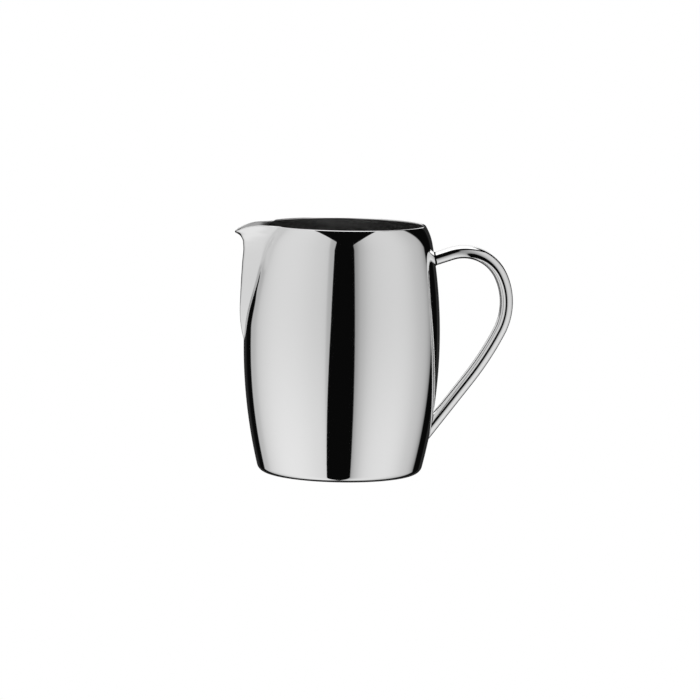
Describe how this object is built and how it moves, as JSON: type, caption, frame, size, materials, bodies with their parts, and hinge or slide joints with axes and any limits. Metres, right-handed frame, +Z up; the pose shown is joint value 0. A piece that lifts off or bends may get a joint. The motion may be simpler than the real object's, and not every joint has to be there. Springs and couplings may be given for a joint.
{
  "type": "cream jug",
  "caption": "Bulged barrel cream jug in polished steel with a pressed V-shaped pouring lip and a bent rod handle, for pouring cream or milk at table.",
  "frame": {"origin": "on the axis of the barrel, at the centre of the flat underside that the jug stands on", "axes": "+Z up along the barrel's axis, +X out through the handle, the spout along -X"},
  "size_m": [0.1069, 0.074, 0.094],
  "materials": {
    "polished_sheet": "mirror polished outside, satin inside",
    "satin_sheet": "fine satin",
    "polished_rod": "mirror polished",
    "weld": "ground and polished fillet"
  },
  "bodies": {
    "root": {"body_shell": "polished_sheet", "spout": "polished_sheet", "base_disc": "satin_sheet", "handle": "polished_rod", "upper_handle_weld": "weld", "lower_handle_weld": "weld"}
  },
  "joints": []
}
